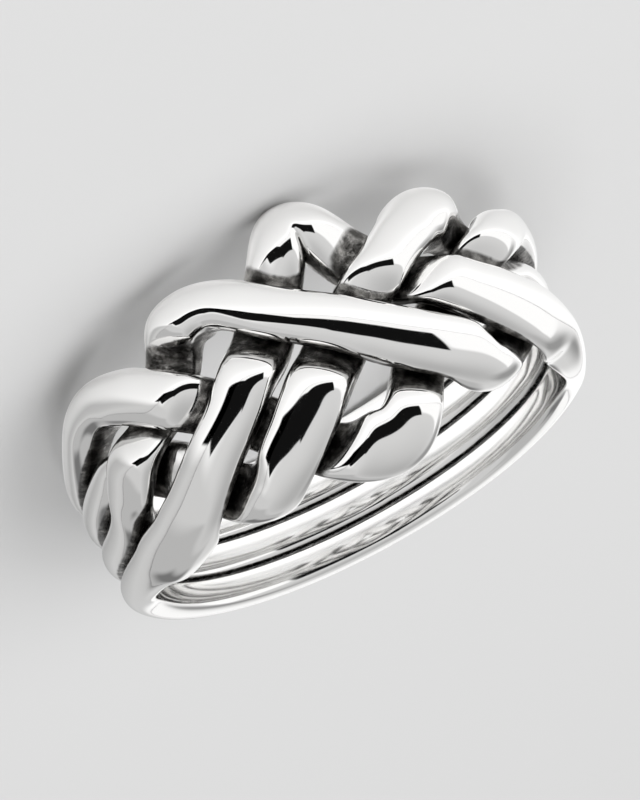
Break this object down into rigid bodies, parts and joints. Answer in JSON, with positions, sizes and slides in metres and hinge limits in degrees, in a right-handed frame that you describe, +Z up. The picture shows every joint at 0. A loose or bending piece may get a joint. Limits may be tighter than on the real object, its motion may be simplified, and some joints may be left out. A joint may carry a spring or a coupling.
{
  "type": "puzzle ring",
  "caption": "Finger ring of interlocked polished metal bands, plaited across the front and side by side round the back of the finger, lying on its side.",
  "frame": {"origin": "centre of the underside of the bounding box, on the surface that the ring lies on", "axes": "+Z is up from the surface the ring lies on and runs nearly along the finger hole, -Y points out through the middle of the plaited front, +X points to the side of the front that is at the left when it is seen with the front band below"},
  "size_m": [0.0228, 0.024, 0.0125],
  "materials": {
    "front_band_silver": "polished",
    "second_band_silver": "polished",
    "third_band_silver": "polished",
    "back_band_silver": "polished"
  },
  "bodies": {
    "root": {"front_band": "front_band_silver", "second_band": "second_band_silver", "third_band": "third_band_silver", "back_band": "back_band_silver"}
  },
  "joints": []
}
